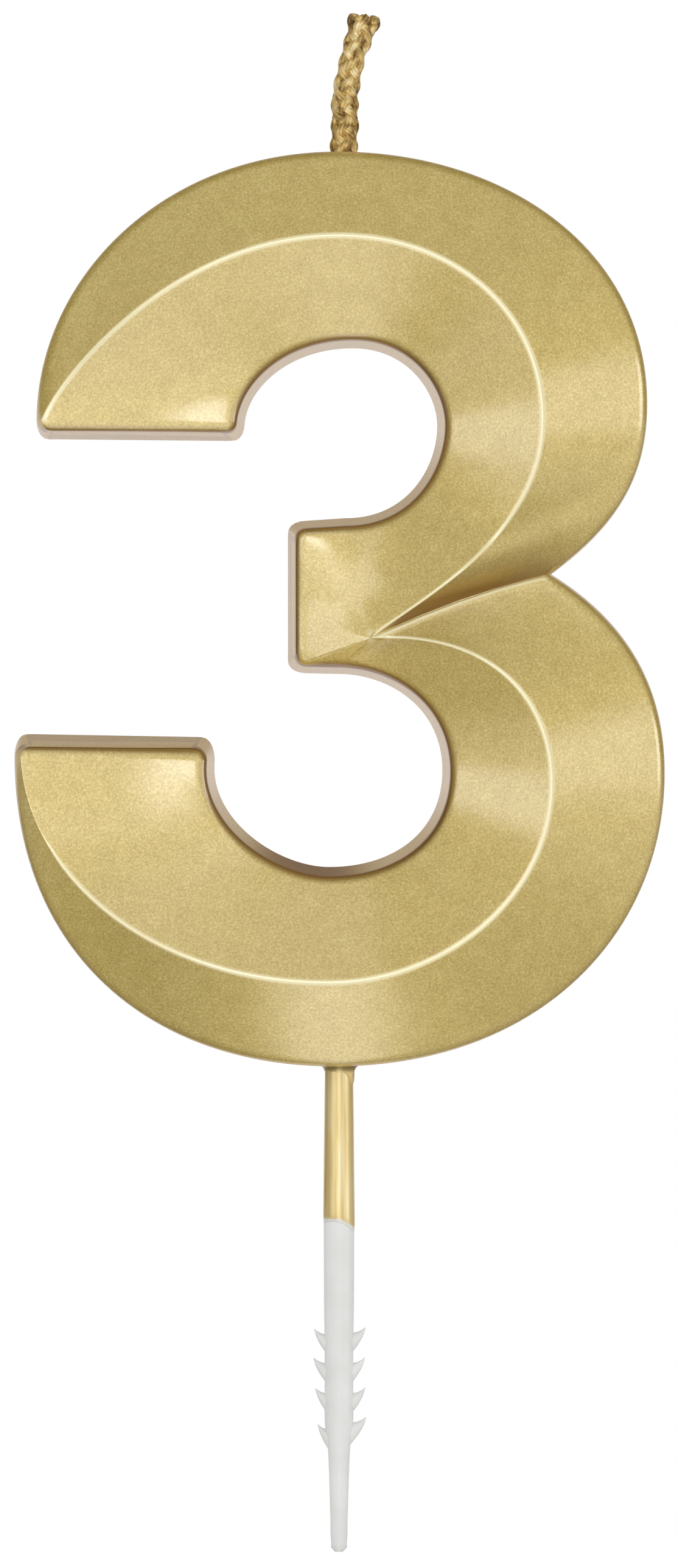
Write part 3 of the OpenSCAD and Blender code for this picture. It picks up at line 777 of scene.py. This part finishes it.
pick = {"shaft": [(0.3, -25.42), (0.48, -25.3), (0.6, -24.7), (0.66, -23), (0.75, -20), (0.87, -17.4), (1.08, -15.6),
    (1.1, -13), (1.11, -9), (1.15, -6.5), (1.165, -3), (1.175, 0), (1.11, 6), (1.045, 11.2), (1.045, 11.5), (1.045, 15),
    (1.045, 20.6), (1.045, 21.1), (0.99, 21.5), (0.75, 21.98)], "rings": 150, "sides": 40,
    "right": [(-8.15, 2.03), (-10.48, 1.98), (-12.8, 2.0), (-15.05, 2.07)],
    "left": [(-8.28, 1.89), (-10.5, 1.95), (-12.82, 1.82), (-15.6, 1.62)],
    "barbTop": [(0.5, -0.42), (1.45, -0.52), (1.99, 0.0)], "barbUnder": [(0.5, -2.5), (1.75, -1.25), (2.01, -0.1)],
    "barbReach": 2.0, "barbRings": 15, "barbSides": 14, "thick": 0.46, "thinning": 0.55,
    "tones": [(0.3, (0.80, 0.80, 0.785)), (0.7, (0.86, 0.86, 0.85))], "milk": 420.0, "grain": 2600.0}


# one barb between its upper and lower edge, from the middle of the shaft
def thornMesh(finish):
    sides = pick["barbSides"]
    t = np.linspace(0, 1, pick["barbRings"])
    upper, lower = (quad(*np.array(pick[key]), t) for key in ("barbTop", "barbUnder"))
    half = pick["thick"] * (1 - pick["thinning"] * t ** 2)
    points = []
    for u, l, w in zip(upper, lower, half):
        centre, reach = (u + l) / 2, (u - l) / 2
        w = min(w, 0.9 * np.linalg.norm(reach) + 0.05)
        for a in turns(sides):
            x, z = centre + reach * math.sin(a)
            points.append(Vector((x, w * math.cos(a), z)) * mm)
    faces = ringFaces(len(t), sides) + [tuple(range(sides)), tuple(range(len(points) - sides, len(points)))]
    return meshPiece("thorn", points, faces, finish)


def plasticFinish():
    finish, tree, shader = newFinish("whitePlastic", Roughness=0.34, IOR=1.49, Subsurface_Weight=0.25,
        Subsurface_Radius=(0.0012, 0.0012, 0.0012))
    coords = addNode(tree, "ShaderNodeTexCoord").outputs["Object"]
    milk = colourSteps(tree, noise(tree, coords, pick["milk"]), pick["tones"])
    tree.links.new(milk, shader.inputs["Base Color"])
    roughen(tree, shader, noise(tree, coords, pick["grain"]), 0.06)
    return finish


def pickTree(inputs):
    tree, given, out = newTree("barbedPick", inputs)
    value = given.outputs
    shaft = tube(tree, value["Geometry"], circle(tree, pick["sides"], 1.0))
    tree.links.new(addNode(tree, "GeometryNodeInputRadius").outputs[0], shaft.inputs["Scale"])
    seats = addNode(tree, "GeometryNodeObjectInfo", {"Object": value["Seats"]}).outputs["Geometry"]
    thorn = addNode(tree, "GeometryNodeObjectInfo", {"Object": value["Thorn"]}).outputs["Geometry"]
    reach = addNode(tree, "GeometryNodeInputNamedAttribute", {"Name": "reach"}, data_type="FLOAT").outputs[0]
    turned = math2(tree, "MULTIPLY", math2(tree, "LESS_THAN", reach, 0.0), math.pi)
    size = math2(tree, "DIVIDE", math2(tree, "ABSOLUTE", reach), pick["barbReach"])
    barbs = addNode(tree, "GeometryNodeInstanceOnPoints", {"Points": seats, "Instance": thorn,
        "Rotation": addNode(tree, "ShaderNodeCombineXYZ", {2: turned}).outputs[0],
        "Scale": addNode(tree, "ShaderNodeCombineXYZ", {0: size, 1: 1.0, 2: 1.0}).outputs[0]}).outputs[0]
    endTree(tree, out, value["Finish"], shaft.outputs[0], barbs)
    return tree


def makePick(finish):
    thorn = thornMesh(finish)
    seats = bpy.data.meshes.new("barbSeats")
    places = pick["right"] + [(z, -reach) for z, reach in pick["left"]]
    seats.from_pydata([(0, 0, z * mm) for z, _ in places], [], [])
    seats.attributes.new("reach", "FLOAT", "POINT").data.foreach_set("value", [r for _, r in places])
    seatPoints = newObject("barbSeats", seats)
    line = smoothLine(pick["shaft"], pick["rings"])
    shaft = pathCurve("barbedPick", [(0, 0, z) for _, z in line], [r for r, _ in line])
    inputs = {"Seats": ("Object", seatPoints), "Thorn": ("Object", thorn), "Finish": ("Material", finish)}
    growOn(shaft, pickTree(inputs), inputs)
    made = bakeModifiers(shaft)
    for helper in (thorn, seatPoints):
        bpy.data.objects.remove(helper)
    return made


whitePick = makePick(plasticFinish())
place(whitePick, "stake", "pick_plastic", "pick")
print("pick:", len(whitePick.data.polygons), "faces")


# glossy gold on the stem, with a soft uneven end, and the bead of lacquer at the joint

stemGold = {"thick": 0.045, "under": 0.05, "top": 11.93, "end": 0.3, "below": 0.35, "ripple": 0.05, "sides": 48,
    "goldEnd": -0.05, "dip": -0.75, "dipSpan": (-0.3, 1.2), "fade": 0.25, "wander": 0.3, "metal": 0.45,
    "bare": (0.83, 0.82, 0.80), "streak": 2600.0, "drawn": 0.06, "wanderSize": 1700.0,
    "tones": [(0.3, (0.80, 0.575, 0.20)), (0.5, (0.93, 0.715, 0.29)), (0.7, (1.0, 0.84, 0.46))]}
bead = {"inner": 1.115, "top": 11.96, "spread": 0.27, "spreadRight": 0.1, "long": 0.42, "longRight": 0.12,
    "dripAngle": -25, "dripWide": 24, "drip": 0.95, "dripThick": 0.13, "skin": 0.012, "inside": 0.1, "sides": 64,
    "underShadeColour": (0.33, 0.22, 0.04), "underShadeSpan": (0.5, 0.2), "underShadeShare": 0.85}


def stemFinish(name, faded):
    s = stemGold
    finish, tree, shader = newFinish(name, Coat_Weight=1.0, Coat_Roughness=0.28, Coat_IOR=1.7)
    coords = addNode(tree, "ShaderNodeTexCoord").outputs["Object"]
    spot = addNode(tree, "ShaderNodeSeparateXYZ", {0: coords}).outputs
    drawn = addNode(tree, "ShaderNodeMapping", {"Vector": coords, "Scale": (1.0, 1.0, s["drawn"])}).outputs[0]
    streak = noise(tree, drawn, s["streak"])
    gold = colourSteps(tree, streak, s["tones"])
    if faded:
        left, right = s["dipSpan"]
        toRight = math2(tree, "POWER", spread(tree, spot["X"], left * mm, right * mm, 0.0, 1.0), 2.0)
        end = math2(tree, "MULTIPLY_ADD", toRight, s["dip"] * mm, s["goldEnd"] * mm)
        above = math2(tree, "SUBTRACT", spot["Z"], end)
        above = math2(tree, "MULTIPLY_ADD", noise(tree, coords, s["wanderSize"]), -s["wander"] * mm, above)
        bare = eased(tree, above, (0.0, s["fade"] * mm), 1.0, 0.0)
        gold = blend(tree, bare, gold, s["bare"])
        tree.links.new(spread(tree, bare, 0.0, 1.0, s["metal"], 0.0), shader.inputs["Metallic"])
    else:
        # painted shade on the bead right under the numeral
        span = [(bead["top"] - under) * mm for under in bead["underShadeSpan"]]
        gold = blend(tree, eased(tree, spot["Z"], span, 0.0, bead["underShadeShare"]), gold, bead["underShadeColour"])
        shader.inputs["Metallic"].default_value = s["metal"]
    tree.links.new(gold, shader.inputs["Base Color"])
    tree.links.new(spread(tree, streak, 0.3, 0.7, 0.4, 0.3), shader.inputs["Roughness"])
    roughen(tree, shader, streak, 0.12)
    return finish


def revolve(name, profiles, finish):
    count = len(profiles[0])
    points = [Vector((r * math.cos(a), r * math.sin(a), z)) * mm
        for a, profile in zip(turns(len(profiles)), profiles) for r, z in profile]
    return meshPiece(name, points, ringFaces(len(profiles), count, closed=True), finish)


def stemRadius(z):
    return float(np.interp(z, [p[1] for p in pick["shaft"]], [p[0] for p in pick["shaft"]]))


def makeStemGold():
    s = stemGold
    profiles = []
    for a in turns(s["sides"]):
        low = s["end"] - s["below"] + s["dip"] * max(0, 0.2 + 0.8 * math.cos(a)) ** 2
        low += s["ripple"] * math.sin(3 * a + 1)
        profile = []
        for f in np.concatenate([[0, 0.01, 0.02, 0.035], np.linspace(0.06, 0.985, 20), [0.995, 1.0]]):
            z = low + (s["top"] - low) * f
            skin = s["thick"] * min(1, 0.15 + f / 0.05) * (1 if f < 0.99 else 0.6)
            profile.append((stemRadius(z) + skin, z))
        for f in (1.0, 0.5, 0.0):
            z = low + (s["top"] - low) * f
            profile.append((stemRadius(z) - s["under"], z))
        profiles.append(profile)
    return revolve("stemGold", profiles, stemFinish("goldGloss", True))


def makeBead():
    b = bead
    inner, top, cover = b["inner"], b["top"], b["top"] + b["inside"]
    profiles = []
    for a in turns(b["sides"]):
        right = 0.5 + 0.5 * math.cos(a)
        off = (a - math.radians(b["dripAngle"]) + math.pi) % (2 * math.pi) - math.pi
        run = math.exp(-(off / math.radians(b["dripWide"])) ** 2)
        flare = b["spread"] + b["spreadRight"] * right
        length = b["long"] + b["longRight"] * right + b["drip"] * run
        profile = []
        for q in np.linspace(0, 1, 16):
            below = length * q / (b["long"] + 0.1)
            r = inner + b["skin"] + flare * max(0, 1 - below) ** 2.2
            r += b["dripThick"] * run * min(1, 6 * q) * (max(0, 1 - q ** 5)) ** 0.5
            profile.append((r, top - length * q))
        profile += [(inner, top - length), (inner, top - length / 2), (inner, cover), (inner + flare * 0.6, cover)]
        profiles.append(profile)
    return revolve("sealBead", profiles, stemFinish("goldBead", False))


stemSleeve = makeStemGold()
place(stemSleeve, "stake", "gold_gloss", "pick_coat")
sealBead = makeBead()
place(sealBead, "numeral", "gold_gloss", "seal_bead")
print("stem gold and bead:", len(stemSleeve.data.polygons), len(sealBead.data.polygons), "faces")


# floor, background and studio light

# each softbox: degrees off the camera's axis, clock angle, distance, size, light; the room by degrees off it
studio = {"floor": -0.02545, "floorSize": 3.0, "aim": 0.045, "boxes": {
    "front": (4.5, 90, 1.6, (0.28, 0.36), 3.0), "nearLeft": (14, 180, 1.0, (0.39, 0.39), 0.65),
    "left": (46, 180, 1.0, (0.6, 0.39), 1.26), "right": (40, 0, 1.0, (0.39, 0.39), 0.95),
    "farRight": (66, 0, 1.0, (0.39, 0.39), 2.65), "highLeft": (27, 135, 1.0, (0.39, 0.39), 0.75),
    "highRight": (27, 45, 1.0, (0.39, 0.39), 0.42), "top": (40, 90, 1.0, (0.39, 0.39), 0.33)},
    "room": [(0, (0.48, 0.48, 0.48)), (32, (0.48, 0.48, 0.48)), (44, (0.28, 0.28, 0.28)), (64, (0.28, 0.28, 0.28)),
        (78, (0.04, 0.035, 0.03)), (125, (0.04, 0.035, 0.03)), (150, (0.75, 0.66, 0.63))],
    "over": (0.45, 0.36, 0.29), "overBack": (0.7, 0.85), "overUp": (0.02, 0.15), "fill": 0.71}

# light of the paper on the floor as the candle mirrors it, by degrees from straight ahead and by metres
paper = {"colour": (0.93, 0.93, 0.92), "white": 1.02, "share": 0.95, "close": 1.4, "ahead": 1.04, "left": 0.58,
    "right": 0.46, "farLeft": 0.35, "nearLeft": 0.15, "nearRight": 0.21, "behind": 0.75, "behindTint": (1, 0.88, 0.84),
    "aheadTurn": (6, 30), "sideTurn": (100, 130), "farLeftTurn": (-58, -42), "behindTurn": (125, 150),
    "closeReach": (0.035, 0.065), "nearReach": (0.1, 0.2)}


def softbox(name, off, clock, away, size, light):
    lamp = bpy.data.lights.new(name, "AREA")
    lamp.shape = "RECTANGLE"
    lamp.size, lamp.size_y = size
    lamp.energy = light * math.pi * size[0] * size[1]
    made = newObject(name, lamp)
    off, clock = math.radians(off), math.radians(clock)
    way = Vector((math.sin(off) * math.cos(clock), -math.cos(off), math.sin(off) * math.sin(clock)))
    made.location = Vector((0, 0, studio["aim"])) + way * away
    made.rotation_euler = (-way).to_track_quat("-Z", "Y").to_euler()
    made.visible_camera = False


# which rays show white paper, and which are reflections
def raysOf(tree):
    path = addNode(tree, "ShaderNodeLightPath").outputs
    return math2(tree, "MAXIMUM", path["Is Camera Ray"], path["Is Transmission Ray"]), path["Is Glossy Ray"]


def axesOf(tree, coords):
    return addNode(tree, "ShaderNodeSeparateXYZ", {0: addNode(tree, "ShaderNodeTexCoord").outputs[coords]}).outputs


def makeRoom():
    s = studio
    world = bpy.data.worlds.new("studio")
    bpy.context.scene.world = world
    world.use_nodes = True
    tree = world.node_tree
    seen, mirrored = raysOf(tree)
    way = axesOf(tree, "Generated")
    steps = [((1 - math.cos(math.radians(off))) / 2, colour) for off, colour in s["room"]]
    room = colourSteps(tree, spread(tree, way["Y"], -1, 1, 0, 1), steps)
    back = spread(tree, way["Y"], *s["overBack"], 0, 1)
    over = math2(tree, "MULTIPLY", back, spread(tree, way["Z"], *s["overUp"], 0, 1))
    shown = blend(tree, mirrored, (s["fill"],) * 3, blend(tree, over, room, s["over"]))
    tree.links.new(blend(tree, seen, shown, (1, 1, 1)), tree.nodes["Background"].inputs["Color"])


# the floor is white to the camera, and in reflections as bright as a lit paper sweep
def makeFloor():
    p = paper
    finish, tree, shader = newFinish("paleFloor", Base_Color=(*p["colour"], 1), Roughness=0.9)
    seen, mirrored = raysOf(tree)
    spot = axesOf(tree, "Object")
    bearing = math2(tree, "ARCTAN2", spot["X"], math2(tree, "MULTIPLY", spot["Y"], -1.0))
    side = math2(tree, "ABSOLUTE", bearing)
    far = math2(tree, "ADD", *(math2(tree, "POWER", spot[axis], 2.0) for axis in "XY"))
    far = math2(tree, "SQRT", far)
    onRight = math2(tree, "GREATER_THAN", bearing, 0.0)

    def turned(value, degrees, low, high):
        return eased(tree, value, [math.radians(d) for d in degrees], low, high)

    def either(share, a, b):
        return addNode(tree, "ShaderNodeMix", {"Factor": share, 2: a, 3: b}).outputs[0]

    ahead = turned(side, p["aheadTurn"], 1.0, 0.0)
    wing = math2(tree, "SUBTRACT", turned(side, p["sideTurn"], 1.0, 0.0), ahead)
    near, wide = either(onRight, p["nearLeft"], p["nearRight"]), either(onRight, p["left"], p["right"])
    light = math2(tree, "MULTIPLY", either(eased(tree, far, p["nearReach"]), near, wide), wing)
    light = math2(tree, "MULTIPLY", light, turned(bearing, p["farLeftTurn"], p["farLeft"], 1.0))
    light = math2(tree, "MULTIPLY_ADD", ahead, eased(tree, far, p["closeReach"], p["close"], p["ahead"]), light)
    behind = turned(side, p["behindTurn"], 0.0, 1.0)
    light = math2(tree, "MULTIPLY_ADD", behind, p["behind"], light)
    warm = math2(tree, "MULTIPLY", behind, math2(tree, "SUBTRACT", 1.0, seen))
    glow = addNode(tree, "ShaderNodeEmission", {"Color": blend(tree, warm, (1, 1, 1), p["behindTint"]),
        "Strength": math2(tree, "MAXIMUM", math2(tree, "MULTIPLY", seen, p["white"]), light)})
    share = math2(tree, "MULTIPLY", math2(tree, "MAXIMUM", seen, mirrored), p["share"])
    mixed = addNode(tree, "ShaderNodeMixShader", {0: share, 1: shader.outputs[0], 2: glow.outputs[0]})
    tree.links.new(mixed.outputs[0], tree.nodes["Material Output"].inputs["Surface"])
    half = studio["floorSize"] / 2
    points = [(x * half, y * half, studio["floor"]) for x, y in ((-1, -1), (1, -1), (1, 1), (-1, 1))]
    floor = meshPiece("floor", points, [(0, 1, 2, 3)], finish)


for name, values in studio["boxes"].items():
    softbox(name, *values)
makeRoom()
makeFloor()
print("studio set")
